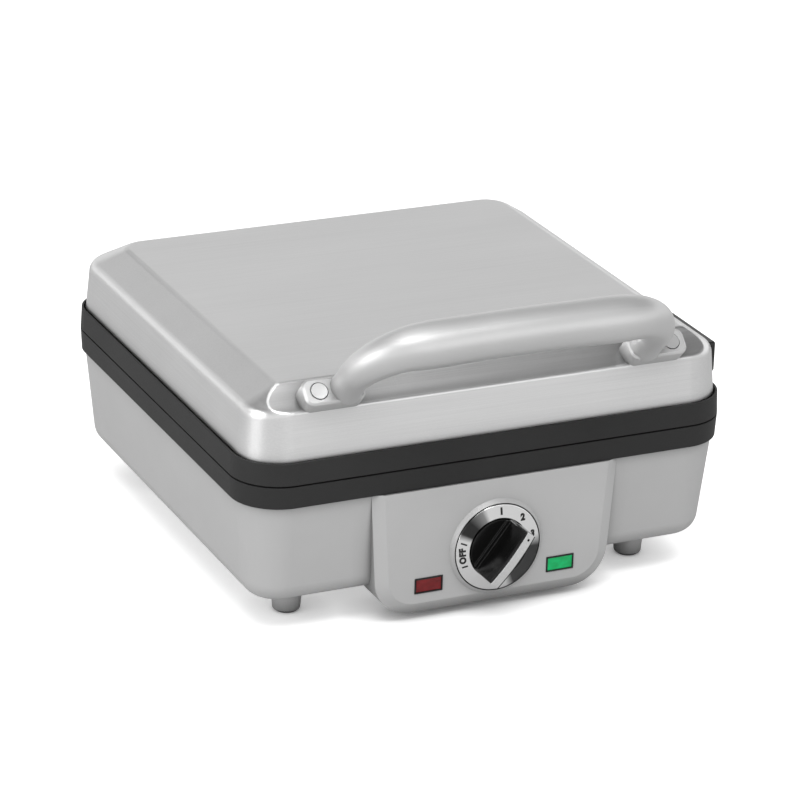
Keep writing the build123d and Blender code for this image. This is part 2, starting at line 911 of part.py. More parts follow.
def release_frame(side, low, high, front, back, face, body):
    """Moulded frame on the side wall round a release button's face."""
    middle = ((front + back) / 2, (low + high) / 2)
    start = Plane(origin=(button_back, 0, 0), x_dir=(0, 1, 0), z_dir=(1, 0, 0))
    with BuildPart() as frame:
        with BuildSketch(start):
            with Locations(middle):
                RectangleRounded(back - front, high - low, frame_round)
        extrude(amount=face - frame_bevel - button_back)
        with BuildSketch(start.offset(face - frame_bevel - button_back)):
            with Locations(middle):
                RectangleRounded(back - front, high - low, frame_round)
        extrude(amount=frame_bevel, taper=frame_slant)
        add(body, mode=Mode.SUBTRACT)
        add(release_window(side), mode=Mode.SUBTRACT)
    return frame.part


lower_plate = waffle_plate(-1)
upper_plate = waffle_plate(1)

# Control pod: shell with a bevelled front that stands on the housing's front wall
with BuildPart() as pod_solid:
    with BuildSketch(front_plane(pod_face - pod_bevel_depth)):
        add(pod_outline(0))
    extrude(amount=pod_back + pod_bevel_depth - pod_face)
    with BuildSketch(front_plane(pod_face - pod_bevel_depth)):
        add(pod_outline(0))
    with BuildSketch(front_plane(pod_face)):
        add(pod_outline(pod_bevel_width))
    loft(ruled=True)

with BuildPart() as pod_bosses:
    with BuildSketch(front_plane(pod_inner)):
        with Locations((-pod_screw_x, pod_screw_height), (pod_screw_x, pod_screw_height)):
            Circle(boss_radius)
    extrude(amount=pod_back - pod_inner)
    add(housing_outer, mode=Mode.SUBTRACT)

with BuildPart() as control_pod:
    add(pod_solid.part)
    with BuildSketch(front_plane(pod_inner)):
        add(pod_outline(pod_wall, pod_wall))
    extrude(amount=pod_back + pod_wall - pod_inner, mode=Mode.SUBTRACT)
    add(housing_outer, mode=Mode.SUBTRACT)
    add(pod_bosses.part)
    with BuildSketch(front_plane(pod_face)):
        with Locations((0, dial_height)):
            Circle(collar_radius)
    extrude(amount=collar_height, taper=collar_draft)
    with BuildSketch(front_plane(pod_face)):
        with Locations((0, dial_height)):
            Circle(ring_radius + ring_groove)
    extrude(amount=collar_height, mode=Mode.SUBTRACT)
    with BuildSketch(front_plane(pod_inner)):
        with Locations((0, dial_height)):
            Circle(shaft_hole)
        with Locations((-lens_x, lens_height), (lens_x, lens_height)):
            Rectangle(
                lens_width + 2 * (lens_border + lens_gap), lens_tall + 2 * (lens_border + lens_gap)
            )
    extrude(amount=pod_face - pod_inner, mode=Mode.SUBTRACT)
    pod_seat = inner_wall(pod_screw_height - screw_head_radius)
    with BuildSketch(front_plane(pod_seat)):
        with Locations((-pod_screw_x, pod_screw_height), (pod_screw_x, pod_screw_height)):
            Circle(screw_radius + screw_clearance)
    extrude(amount=pod_screw_length + screw_clearance, mode=Mode.SUBTRACT)

with BuildPart() as pod_screws:
    for x in (-pod_screw_x, pod_screw_x):
        seat = Plane(origin=(x, -pod_seat, pod_screw_height), z_dir=(0, 1, 0))
        add(screw(seat, pod_screw_length))

# Dial ring, seated on the pod's face inside the collar
with BuildPart() as dial_ring:
    with BuildSketch(Plane(origin=(0, -pod_face, dial_height), x_dir=(1, 0, 0), z_dir=(0, 0, 1))):
        with BuildLine():
            Polyline(
                (ring_hole, 0),
                (ring_radius, 0),
                (ring_radius, -ring_edge),
                (ring_hole, -ring_edge - ring_crown),
                close=True,
            )
        make_face()
    revolve(axis=Axis((0, 0, dial_height), (0, 1, 0)))
    rims = dial_ring.edges().filter_by(GeomType.CIRCLE).sort_by(Axis.Y)[:3]
    fillet(rims, ring_soft)

# Indicator lights
with BuildPart() as lens_frames:
    with BuildSketch(front_plane(pod_inner)):
        with Locations((-lens_x, lens_height), (lens_x, lens_height)):
            Rectangle(lens_width + 2 * lens_border, lens_tall + 2 * lens_border)
            Rectangle(lens_width + 2 * lens_gap, lens_tall + 2 * lens_gap, mode=Mode.SUBTRACT)
    extrude(amount=pod_face + lens_proud - pod_inner)


def lens(x):
    """Lens of one indicator light."""
    with BuildPart() as piece:
        with BuildSketch(front_plane(pod_inner - lens_proud)):
            with Locations((x, lens_height)):
                Rectangle(lens_width, lens_tall)
        extrude(amount=pod_face + lens_proud / 2 - pod_inner + lens_proud)
        fillet(piece.faces().sort_by(Axis.Y)[0].edges(), lens_proud)
    return piece.part


lamp_y = -(pod_inner - lens_proud - lens_gap - lamp_radius)
with BuildPart() as indicator_lamps:
    for x in (-lens_x, lens_x):
        start = (x - lamp_length / 2, lamp_y, lens_height)
        add(shaft_between(start, (x + lamp_length / 2, lamp_y, lens_height), lamp_radius))

with BuildPart() as lamp_holders:
    ear_place = (lamp_length + lamp_ear) / 2
    with BuildSketch(front_plane(pod_inner)):
        for x in (-lens_x, lens_x):
            with Locations((x - ear_place, lens_height), (x + ear_place, lens_height)):
                Rectangle(lamp_ear, 2 * (lens_border + lens_tall / 2 + lamp_ear))
    extrude(amount=-(pod_inner + lamp_y + lamp_radius))

# Thermostat behind the dial
with BuildPart() as thermostat_bracket:
    with BuildSketch(front_plane(pod_inner)):
        with Locations((0, dial_height)):
            Rectangle(bracket_width, bracket_tall)
            Circle(shaft_hole, mode=Mode.SUBTRACT)
    extrude(amount=-bracket_sheet)

with BuildPart() as thermostat:
    with BuildSketch(front_plane(pod_inner - bracket_sheet)):
        with Locations((0, dial_height)):
            Rectangle(thermostat_width, thermostat_tall)
    extrude(amount=-thermostat_depth)
    fillet(thermostat.edges().filter_by(Axis.Y), thermostat_soft)
    with BuildSketch(front_plane(pod_inner - bracket_sheet)):
        with Locations((0, dial_height)):
            Circle(shaft_radius + shaft_clearance)
    extrude(amount=thermostat_back - thermostat_depth, mode=Mode.SUBTRACT)

# Knob, its pointer strip and its shaft
turn = math.radians(knob_angle)
across = (math.cos(turn), 0, -math.sin(turn))
along = (math.sin(turn), 0, math.cos(turn))
knob_back = pod_face + knob_clearance
knob_front = knob_back + knob_disc
blade_front = pod_face + knob_reach


def dial_plane(distance):
    """Plane across the dial's axis, turned with the knob."""
    return Plane(origin=(0, -distance, dial_height), x_dir=across, z_dir=(0, -1, 0))


def arch_band(low, high, width):
    """Solid between two lines that follow the blade's arched front."""
    half = blade_length / 2
    side = Plane(origin=(0, -blade_front, dial_height), x_dir=along, z_dir=across)
    with BuildPart() as band:
        with BuildSketch(side):
            with BuildLine():
                ThreePointArc((-half, low - blade_arch), (0, low), (half, low - blade_arch))
                Line((half, low - blade_arch), (half, high - blade_arch))
                ThreePointArc((half, high - blade_arch), (0, high), (-half, high - blade_arch))
                Line((-half, high - blade_arch), (-half, low - blade_arch))
            make_face()
        extrude(amount=width / 2, both=True)
    return band.part


with BuildPart() as knob:
    with BuildSketch(dial_plane(knob_back)):
        Circle(knob_radius)
    extrude(amount=knob_disc)
    with BuildSketch(dial_plane(knob_front)):
        Rectangle(plinth_width, 2 * knob_radius)
        Circle(knob_radius, mode=Mode.INTERSECT)
    extrude(amount=plinth_height)
    with BuildSketch(dial_plane(knob_front)):
        RectangleRounded(blade_base, blade_length, blade_corner)
    with BuildSketch(dial_plane(blade_front)):
        RectangleRounded(blade_edge, blade_length, blade_corner)
    loft()
    add(arch_band(0, knob_disc, blade_length), mode=Mode.SUBTRACT)
    with BuildSketch(dial_plane(knob_back)):
        Circle(shaft_radius + knob_bore_gap)
    extrude(amount=shaft_front - knob_back + knob_bore_gap, mode=Mode.SUBTRACT)

pointer_strip = arch_band(0, strip_thickness, strip_width)

with BuildPart() as knob_shaft:
    back = (0, -shaft_back, dial_height)
    add(shaft_between(back, (0, -shaft_front, dial_height), shaft_radius))

# Cord entry, terminal block and thermal fuse
gland_end = inner_wall(gland_height) + housing_wall + gland_proud
gland_start = gland_end - gland_length
with BuildPart() as gland_outer:
    with BuildSketch(front_plane(-gland_start)):
        with Locations((gland_x, gland_height)):
            Circle(gland_flange)
    extrude(amount=-gland_length)
    add(housing_outer, mode=Mode.SUBTRACT)

with BuildPart() as gland_inner:
    with BuildSketch(front_plane(-gland_start - gland_nut)):
        with Locations((gland_x, gland_height)):
            Circle(gland_inside)
    extrude(amount=-gland_length)
    add(housing_inner, mode=Mode.INTERSECT)

with BuildPart() as cord_gland:
    with BuildSketch(front_plane(-gland_start)):
        with Locations((gland_x, gland_height)):
            Circle(gland_body - fit_gap)
    extrude(amount=-gland_length)
    add(gland_outer.part)
    add(gland_inner.part)
    with BuildSketch(front_plane(-gland_start)):
        with Locations((gland_x, gland_height)):
            Circle(gland_bore)
    extrude(amount=-gland_length, mode=Mode.SUBTRACT)

with BuildPart() as terminal_block:
    with Locations((gland_x, terminal_y, housing_bottom + housing_wall)):
        Box(
            terminal_width,
            terminal_depth,
            terminal_height,
            align=(Align.CENTER, Align.CENTER, Align.MIN),
        )
    chamfer(terminal_block.edges().filter_by(Axis.Z), terminal_bevel)

fuse_z = lower_rim - tray_floor - fuse_radius
with BuildPart() as thermal_fuse:
    left = (-fuse_length / 2, fuse_y, fuse_z)
    add(shaft_between(left, (fuse_length / 2, fuse_y, fuse_z), fuse_radius))


# Hinge: brackets on the housing, arms on the upper bezel and a pin through each pair
def hinge_profile(low, high, front, back):
    """Round knuckle joined to an upright rectangle, seen from the side."""
    with BuildSketch(Plane.YZ) as profile:
        with Locations((hinge_y, hinge_height)):
            Circle(knuckle_radius)
        with Locations(((front + back) / 2, (low + high) / 2)):
            Rectangle(back - front, high - low)
        make_hull()
    return profile.sketch


ear_inside = knuckle_width / 2 + ear_gap
ear_outside = ear_inside + ear_thickness
block_front = half_depth - window_depth / 2
with BuildPart() as hinge_brackets:
    for x in (-knuckle_x, knuckle_x):
        for side in (-1, 1):
            shape = hinge_profile(
                hinge_block_low, hinge_block_high, block_front, hinge_block_back
            )
            start = x + side * ear_inside
            add(extrude(Pos(start, 0, 0) * shape, amount=side * ear_thickness, mode=Mode.PRIVATE))
        add(
            block_between(
                (x - ear_outside, block_front, hinge_block_low),
                (x + ear_outside, hinge_block_back, hinge_block_high),
            )
        )
    add(housing_outer, mode=Mode.SUBTRACT)
    add(lower_bezel_outer, mode=Mode.SUBTRACT)
    bracket_seat = inner_wall(hinge_screw_height - screw_head_radius)
    with BuildSketch(front_plane(-bracket_seat)):
        with Locations((-knuckle_x, hinge_screw_height), (knuckle_x, hinge_screw_height)):
            with GridLocations(2 * hinge_screw_spread, 0, 2, 1):
                Circle(screw_radius + screw_clearance)
    extrude(amount=-screw_length - screw_clearance, mode=Mode.SUBTRACT)
    with BuildSketch(Plane.YZ):
        with Locations((hinge_y, hinge_height)):
            Circle(hinge_pin_radius + hinge_pin_clearance)
    extrude(amount=body_width, both=True, mode=Mode.SUBTRACT)

with BuildPart() as hinge_bracket_screws:
    for x in (-knuckle_x, knuckle_x):
        for step in (-hinge_screw_spread, hinge_screw_spread):
            seat = Plane(origin=(x + step, bracket_seat, hinge_screw_height), z_dir=(0, -1, 0))
            add(screw(seat, screw_length))

with BuildPart() as hinge_pins:
    for side in (-1, 1):
        inner = (side * (knuckle_x - ear_outside), hinge_y, hinge_height)
        outer = (side * (knuckle_x + ear_outside), hinge_y, hinge_height)
        tip = (side * (knuckle_x + ear_outside + hinge_pin_head_height), hinge_y, hinge_height)
        add(shaft_between(inner, outer, hinge_pin_radius))
        add(shaft_between(outer, tip, hinge_pin_head))

arm_screw_step = screw_head_radius + ear_gap / 2
arm_seat = half_depth - ledge_inset
with BuildPart() as hinge_arms:
    for x in (-knuckle_x, knuckle_x):
        shape = hinge_profile(arm_low, arm_high, arm_front, arm_back)
        start = x - knuckle_width / 2
        add(extrude(Pos(start, 0, 0) * shape, amount=knuckle_width, mode=Mode.PRIVATE))
    add(upper_bezel_outer, mode=Mode.SUBTRACT)
    with BuildSketch(Plane.YZ):
        with Locations((hinge_y, hinge_height)):
            Circle(hinge_pin_radius + hinge_pin_clearance)
    extrude(amount=body_width, both=True, mode=Mode.SUBTRACT)
    with BuildSketch(front_plane(-arm_seat)):
        with Locations((-knuckle_x, arm_screw_height), (knuckle_x, arm_screw_height)):
            with GridLocations(2 * arm_screw_step, 0, 2, 1):
                Circle(screw_radius + screw_clearance)
    extrude(amount=-arm_screw_length - screw_clearance, mode=Mode.SUBTRACT)

with BuildPart() as hinge_arm_screws:
    for x in (-knuckle_x, knuckle_x):
        for step in (-arm_screw_step, arm_screw_step):
            seat = Plane(origin=(x + step, arm_seat, arm_screw_height), z_dir=(0, -1, 0))
            add(screw(seat, arm_screw_length))

# Handle, its screws and its nuts, in the slanted plane of its two pads
slope = math.radians(handle_tilt)
normal = Vector(0, -math.cos(slope), math.sin(slope))
sideways = Vector(1, 0, 0)
pad_origin = Vector(0, -pad_face_y, pad_face_z)


def handle_point(across_x, out):
    """Point in the handle's plane: across_x along X and out from the pads' face."""
    return pad_origin + sideways * across_x + normal * out


def handle_plane(x, out):
    """Plane parallel to the pads' face."""
    return Plane(origin=handle_point(x, out), x_dir=(1, 0, 0), z_dir=normal)


def handle_section(across_x, out, angle, share):
    """Section of the handle; share goes from 0 in a leg to 1 in the grip."""
    heading = sideways * math.sin(angle) + normal * math.cos(angle)
    wide = leg_half_width + share * (grip_radius - leg_half_width)
    deep = leg_half_depth + share * (grip_radius - leg_half_depth)
    place = Plane(origin=handle_point(across_x, out), x_dir=normal.cross(sideways), z_dir=heading)
    with BuildSketch(place) as section:
        Ellipse(deep, wide)
    return section.sketch


bend_x = leg_spread - handle_bend
bend_rise = handle_reach - handle_bow - leg_straight
left_half = [handle_section(-leg_spread, out, 0, 0) for out in (-leg_root, leg_straight / 2)]
for step in range(bend_steps + 1):
    angle = math.pi / 2 * step / bend_steps
    share = step / bend_steps
    x = -bend_x - handle_bend * math.cos(angle)
    out = leg_straight + bend_rise * math.sin(angle)
    left_half.append(handle_section(x, out, angle, share))
for x in (-bend_x / 2, 0):
    rise = handle_bow * (1 - (x / bend_x) ** 2)
    left_half.append(handle_section(x, handle_reach - handle_bow + rise, math.pi / 2, 1))
right_half = []
for section in reversed(left_half[:-1]):
    right_half.append(mirror(section, about=Plane.YZ))

with BuildPart() as handle_bar:
    loft(left_half + right_half)

with BuildPart() as handle:
    for x in (-pad_middle_x, pad_middle_x):
        with BuildSketch(handle_plane(x, 0)):
            RectangleRounded(pad_length, pad_height, pad_corner)
    extrude(amount=-pad_reach)
    tops = handle.faces().filter_by(lambda face: face.normal_at().dot(normal) > 1 - fit_gap)
    chamfer(tops.edges(), pad_bevel)
    add(handle_bar.part)
    add(lid_outer, mode=Mode.SUBTRACT)
    for x in (-handle_screw_x, handle_screw_x):
        with BuildSketch(handle_plane(x, 0)):
            Circle(handle_head_radius + handle_head_gap)
        extrude(amount=handle_head_proud - handle_head_height, mode=Mode.SUBTRACT)
        with BuildSketch(handle_plane(x, 0)):
            Circle(handle_screw_radius + screw_clearance)
        extrude(amount=-pad_reach, mode=Mode.SUBTRACT)

with BuildPart() as handle_screws:
    for x in (-handle_screw_x, handle_screw_x):
        with BuildSketch(handle_plane(x, handle_head_proud)):
            Circle(handle_head_radius)
        extrude(amount=-handle_head_height)
        with BuildSketch(handle_plane(x, 0)):
            Circle(handle_screw_radius)
        extrude(amount=-handle_screw_length)

with BuildPart() as handle_nuts:
    for x in (-handle_screw_x, handle_screw_x):
        with BuildSketch(handle_plane(x, 0)):
            RegularPolygon(nut_radius, 6)
            Circle(handle_screw_radius + fit_gap, mode=Mode.SUBTRACT)
        extrude(amount=-nut_depth)
    add(lid_inner, mode=Mode.INTERSECT)

# Lid cover, its posts and its screws
with BuildPart() as lid_cover:
    add(lid_outer)
    add(lid_inner, mode=Mode.SUBTRACT)
    add(release_window(1), mode=Mode.SUBTRACT)
    for x in (-handle_screw_x, handle_screw_x):
        with BuildSketch(handle_plane(x, 0)):
            Circle(handle_screw_radius + screw_clearance)
        extrude(amount=-pad_reach, mode=Mode.SUBTRACT)

with BuildPart() as lid_posts:
    with BuildSketch(Plane.XY.offset(skirt_bottom)):
        with GridLocations(2 * boss_x, 2 * boss_y, 2, 2):
            Circle(boss_radius)
    extrude(amount=top_height - skirt_bottom)
    add(lid_inner, mode=Mode.INTERSECT)
    with BuildSketch(Plane.XY.offset(skirt_bottom)):
        with GridLocations(2 * boss_x, 2 * boss_y, 2, 2):
            Circle(screw_radius + screw_clearance)
    extrude(amount=screw_length, mode=Mode.SUBTRACT)

lid_seat = upper_rim_face + screw_head_height + screw_clearance
with BuildPart() as lid_screws:
    for x in (-boss_x, boss_x):
        for y in (-boss_y, boss_y):
            add(screw(Plane(origin=(x, y, lid_seat), z_dir=(0, 0, -1)), screw_length))

lower_frame = release_frame(
    -1,
    lower_frame_low,
    lower_frame_high,
    lower_frame_front,
    lower_frame_back,
    lower_frame_face,
    housing_outer,
)
upper_frame = release_frame(
    1,
    upper_frame_low,
    upper_frame_high,
    upper_frame_front,
    upper_frame_back,
    upper_frame_face,
    lid_outer,
)

# Upper button's face with its sloping lower front corner
slope_end = upper_button_low + upper_button_slope
with BuildPart() as upper_button:
    add(release_button(1))
    with BuildSketch(Plane.XZ):
        Polygon(
            (release_face[1] - upper_button_cut, upper_button_low),
            (release_face[1] + button_lip, upper_button_low - button_lip),
            (release_face[1] + button_lip, slope_end),
            (release_face[1], slope_end),
            align=None,
        )
    extrude(amount=body_depth, mode=Mode.SUBTRACT)

pieces = {
    "lower_housing": lower_housing.part,
    "feet": feet.part,
    "foot_screws": foot_screws.part,
    "rubber_feet": rubber_feet.part,
    "housing_screws": housing_screws.part,
    "lower_bezel": lower_bezel.part,
    "control_pod": control_pod.part,
    "pod_screws": pod_screws.part,
    "dial_ring": dial_ring.part,
    "lens_frames": lens_frames.part,
    "red_lens": lens(-lens_x),
    "green_lens": lens(lens_x),
    "indicator_lamps": indicator_lamps.part,
    "lamp_holders": lamp_holders.part,
    "thermostat_bracket": thermostat_bracket.part,
    "thermostat": thermostat.part,
    "knob": knob.part,
    "pointer_strip": pointer_strip,
    "knob_shaft": knob_shaft.part,
    "cord_gland": cord_gland.part,
    "terminal_block": terminal_block.part,
    "thermal_fuse": thermal_fuse.part,
    "lower_plate": lower_plate,
    "lower_element": heating_element(-1),
    "lower_terminals": element_pins(-1),
    "lower_clips": element_clips(-1),
    "lower_reflector": reflector(-1),
    "lower_tray_screws": tray_screws(-1),
    "lower_release_button": release_button(-1),
    "lower_release_guide": release_guide(-1),
    "lower_release_springs": release_springs(-1),
    "lower_release_frame": lower_frame,
    "hinge_brackets": hinge_brackets.part,
    "hinge_bracket_screws": hinge_bracket_screws.part,
    "hinge_pins": hinge_pins.part,
    "upper_bezel": upper_bezel.part,
    "lid_cover": lid_cover.part,
    "lid_posts": lid_posts.part,
    "lid_screws": lid_screws.part,
    "handle": handle.part,
    "handle_screws": handle_screws.part,
    "handle_nuts": handle_nuts.part,
    "upper_plate": upper_plate,
    "upper_element": heating_element(1),
    "upper_terminals": element_pins(1),
    "upper_clips": element_clips(1),
    "upper_reflector": reflector(1),
    "upper_tray_screws": tray_screws(1),
    "upper_release_button": upper_button.part,
    "upper_release_guide": release_guide(1),
    "upper_release_springs": release_springs(1),
    "upper_release_frame": upper_frame,
    "hinge_arms": hinge_arms.part,
    "hinge_arm_screws": hinge_arm_screws.part,
}

for name, piece in pieces.items():
    placed = Pos(0, body_setback, 0) * piece
    placed.label = name
    export_step(placed, f"parts/{name}.step")
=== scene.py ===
"""Look of the Belgian waffle maker: materials, print on the dial, floor, studio light and camera."""

import json
import math

import bpy
from mathutils import Euler, Matrix, Vector


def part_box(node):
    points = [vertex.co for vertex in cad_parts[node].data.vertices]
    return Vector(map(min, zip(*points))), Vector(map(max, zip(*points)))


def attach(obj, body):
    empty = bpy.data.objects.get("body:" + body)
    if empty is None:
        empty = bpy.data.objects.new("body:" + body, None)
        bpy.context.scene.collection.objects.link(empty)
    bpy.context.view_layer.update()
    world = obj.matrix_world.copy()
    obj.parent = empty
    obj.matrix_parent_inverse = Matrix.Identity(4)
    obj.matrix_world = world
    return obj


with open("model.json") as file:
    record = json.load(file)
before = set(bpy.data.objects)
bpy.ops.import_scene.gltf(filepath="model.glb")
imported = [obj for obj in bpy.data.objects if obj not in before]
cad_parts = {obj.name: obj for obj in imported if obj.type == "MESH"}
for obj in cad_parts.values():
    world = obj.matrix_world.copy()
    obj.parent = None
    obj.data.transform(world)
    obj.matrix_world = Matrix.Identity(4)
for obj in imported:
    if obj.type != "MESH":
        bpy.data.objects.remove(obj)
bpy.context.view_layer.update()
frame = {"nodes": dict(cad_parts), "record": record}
nodes = frame["nodes"]
scene = bpy.context.scene

# Dial and knob: lengths in metres, angles in degrees clockwise from the top
ring_low, ring_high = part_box("dial_ring")
ring_radius = (ring_high.x - ring_low.x) / 2
dial_height = (ring_low.z + ring_high.z) / 2
ring_edge = 0.0024
ring_crown = 0.0015
ring_band = 0.0082
knob_angle = 38

# Painted reflection round the dial ring: brightness from its lowest point clockwise in turns, with two
# dark sectors
ring_painted_reflections = (
    (0.0, 0.9), (0.30, 0.95),
    (0.325, 0.05), (0.375, 0.05), (0.43, 0.35),
    (0.45, 0.95), (0.72, 0.95),
    (0.765, 0.08), (0.93, 0.10),
    (0.96, 0.9), (1.0, 0.9),
)

# Strip on the knob: the dot's distance from the axis, its soft rim, and where the dark side begins
dot_reach = 0.0142
dot_fade = (0.00065, 0.00085)
side_fade = (0.0021, 0.0024)

# Print on the dial ring: text, place, letter size and turn
dial_marks = (
    ("1", 3, 0.0054, 0),
    ("2", 42, 0.0054, 0),
    ("3", 76, 0.0054, 0),
    ("OFF", -95, 0.0050, -95),
    ("/", -76, 0.0046, -84),
    ("I", -113, 0.0042, -104),
)
print_radius = ring_radius * 0.845
print_boldness = 0.065
print_spacing = 1.12
print_depth = 0.00003
print_lift = 0.00005

# Floor: levels for the camera and for the object's light, glow for the camera, reach of the shadow
# painted round the object
floor_seen = 0.85
floor_given = 0.53
floor_glow = 0.62
painted_shadow_reach = 0.022
floor_half_side = 6.0

# World: level as light, and levels in reflections between a low and a high direction
light_level = 0.62
mirror_heights = (0.25, 0.7)
mirror_levels = (1.05, 0.15)

# Softboxes: name, place, target, size and power in watts
softboxes = (
    ("top_softbox", (-0.1, 0.3, 1.9), (0, 0, 0.05), (1.6, 1.6), 6),
    ("key_softbox", (-0.25, -0.9, 1.75), (0, -0.15, 0.15), (1.5, 0.5), 14),
    ("left_softbox", (-1.9, -0.3, 0.8), (0, 0, 0.08), (1.0, 1.2), 11),
    ("front_softbox", (0.4, -1.9, 0.7), (0, 0, 0.08), (1.2, 0.8), 2),
)

# Camera of the photograph: place, turn in degrees, and focal length in pixels of an 800 pixel frame
camera_place = (-0.840909, -1.793102, 0.874261)
camera_turn = (68.0225, -1.60266, -24.55367)
focal_pixels = 3626.1
frame_pixels = 800
sensor_width = 36.0

# Most noise values lie between these two
noise_low = 0.3
noise_high = 0.7

# Paint, plastic and metal: scale of their uneven colour, and depth of their grain
cloud_scale = 14
grain_depth = 0.0001


class Graph:
    """One node tree. What is fed to a socket is a constant, or a pair of a node and its output."""

    def __init__(self, tree):
        self.tree = tree
        self.tree.nodes.clear()

    def feed(self, node, inputs):
        """Feeds sockets, by name or number."""
        for socket, value in inputs.items():
            if isinstance(value, tuple) and isinstance(value[0], bpy.types.Node):
                source, output = value
                self.tree.links.new(source.outputs[output], node.inputs[socket])
            else:
                node.inputs[socket].default_value = value

    def node(self, kind, inputs, **settings):
        """Adds a node with its settings, and feeds its sockets."""
        node = self.tree.nodes.new("ShaderNode" + kind)
        for name, value in settings.items():
            setattr(node, name, value)
        self.feed(node, inputs)
        return node

    def calc(self, operation, *values):
        """Result of a Math node."""
        return self.node("Math", dict(enumerate(values)), operation=operation), "Value"

    def spread(self, value, low, high, start=noise_low, end=noise_high):
        """The value remapped from start-end to low-high, and held at these outside."""
        ends = {"From Min": start, "From Max": end, "To Min": low, "To Max": high}
        return self.node("MapRange", {"Value": value, **ends}), "Result"

    def ramp(self, value, stops):
        """Colour by a value, from pairs of a place and a colour in rising order."""
        ramp = self.node("ValToRGB", {"Fac": value})
        elements = ramp.color_ramp.elements
        for element, (place, colour) in zip(elements, (stops[0], stops[-1])):
            element.position = place
            element.color = (*colour, 1)
        for place, colour in stops[1:-1]:
            elements.new(place).color = (*colour, 1)
        return ramp, "Color"


class Shader(Graph):
    """Material with one surface, patterned over the object's own coordinates in metres."""

    def __init__(self, name):
        self.material = bpy.data.materials.new(name)
        self.material.use_nodes = True
        super().__init__(self.material.node_tree)
        self.surface = self.node("BsdfPrincipled", {})
        self.node("OutputMaterial", {"Surface": (self.surface, "BSDF")})
        self.place = self.node("TexCoord", {}), "Object"

    def finish(self, **inputs):
        """Feeds the surface's sockets, named with low lines for spaces, and gives the material."""
        self.feed(self.surface, {name.replace("_", " "): value for name, value in inputs.items()})
        return self.material

    def noise(self, scale, detail=3.0, rough=0.55):
        """Noise of one scale, or of one for each axis."""
        scales = scale if isinstance(scale, tuple) else (scale,) * 3
        mapping = self.node("Mapping", {"Vector": self.place, "Scale": scales})
        grain = {"Scale": 1.0, "Detail": detail, "Roughness": rough}
        return self.node("TexNoise", {"Vector": (mapping, "Vector"), **grain}), "Fac"

    def tint(self, value, colours, shade=0.0):
        """Colour between two by a noise value, with shade painted into corners up to shade wide."""
        dark, light = colours
        colour = self.ramp(value, ((noise_low, dark), (noise_high, light)))
        if shade:
            # Painted shade: ambient occlusion darkens the colour in corners, creases and under nearby
            # parts
            corners = self.node("AmbientOcclusion", {"Distance": shade, "Color": colour}, samples=6)
            return corners, "Color"
        return colour

    def relief(self, value, strength, depth, edge=0.0):
        """Normal with bumps up to depth high, over edges that look rounded by edge."""
        bump = self.node("Bump", {"Strength": strength, "Distance": depth, "Height": value})
        if edge:
            bevel = self.node("Bevel", {"Radius": edge}, samples=4)
            self.feed(bump, {"Normal": (bevel, "Normal")})
        return bump, "Normal"


def grey(value, warm=0.0):
    """Neutral linear colour, a little warmer where warm is above zero."""
    return (value * (1 + warm), value, value * (1 - warm))


def greys(dark, light, warm=0.0):
    """Pair of neutral colours for a tint."""
    return grey(dark, warm), grey(light, warm)


def coating(name, colours, rough, metal=0.0, grain=900, bump=0.2, edge=0.0004, shade=0.0, specular=0.5):
    """Paint, plastic or plain metal with a fine grain, slightly uneven in colour and gloss, with shade
    painted into its corners where shade is above zero.
    """
    shader = Shader(name)
    fine = shader.noise(grain, detail=2.0)
    return shader.finish(
        Base_Color=shader.tint(shader.noise(cloud_scale, detail=4.0), colours, shade),
        Metallic=metal,
        Specular_IOR_Level=specular,
        Roughness=shader.spread(fine, *rough),
        Normal=shader.relief(fine, bump, grain_depth, edge),
    )


def silver_coat(name, colours):
    """Silver paint of the lower half, with shade painted into its corners."""
    return coating(name, colours, (0.42, 0.48), metal=0.25, grain=2600, bump=0.1, shade=0.012)


def brushed(name, colours, rough):
    """Metal brushed along X, and along Y on the faces that look sideways, with shade painted into its
    corners.
    """
    shader = Shader(name)
    geometry = shader.node("NewGeometry", {})
    facing = shader.node("SeparateXYZ", {"Vector": (geometry, "True Normal")})
    sideways = shader.spread(shader.calc("ABSOLUTE", (facing, "X")), 0.0, 1.0, start=0.75, end=0.85)
    along, across = 9, 1300
    streaks = shader.node("Mix", {
        "Factor": sideways,
        "A": shader.noise((along, across, across), detail=4.0, rough=0.7),
        "B": shader.noise((across, along, across), detail=4.0, rough=0.7),
    }), "Result"
    brush = shader.node("CombineXYZ", {"X": shader.calc("SUBTRACT", 1.0, sideways), "Y": sideways})
    tangent = shader.node(
        "VectorMath", {0: (geometry, "Normal"), 1: (brush, "Vector")}, operation="CROSS_PRODUCT"
    )
    clouds = shader.noise((7, 22, 22), detail=2.0)
    blend = shader.node("Mix", {"Factor": 0.35, "A": streaks, "B": clouds}), "Result"
    return shader.finish(
        # Painted shade: the colour darkens in corners and under the handle
        Base_Color=shader.tint(blend, colours, shade=0.03),
        Metallic=1.0,
        Roughness=shader.spread(streaks, *rough),
        Anisotropic=0.6,
        Tangent=(tangent, "Vector"),
        Normal=shader.relief(streaks, strength=0.1, depth=0.00004, edge=0.0006),
    )


def lens(name, colours, glow):
    """Tinted lens, uneven within and lit a little from behind."""
    shader = Shader(name)
    uneven = shader.noise((160, 160, 260))
    colour = shader.tint(uneven, colours)
    return shader.finish(
        Base_Color=colour,
        Roughness=0.12,
        Emission_Color=colour,
        Emission_Strength=glow,
        Normal=shader.relief(uneven, strength=0.15, depth=0.0003, edge=0.0003),
    )


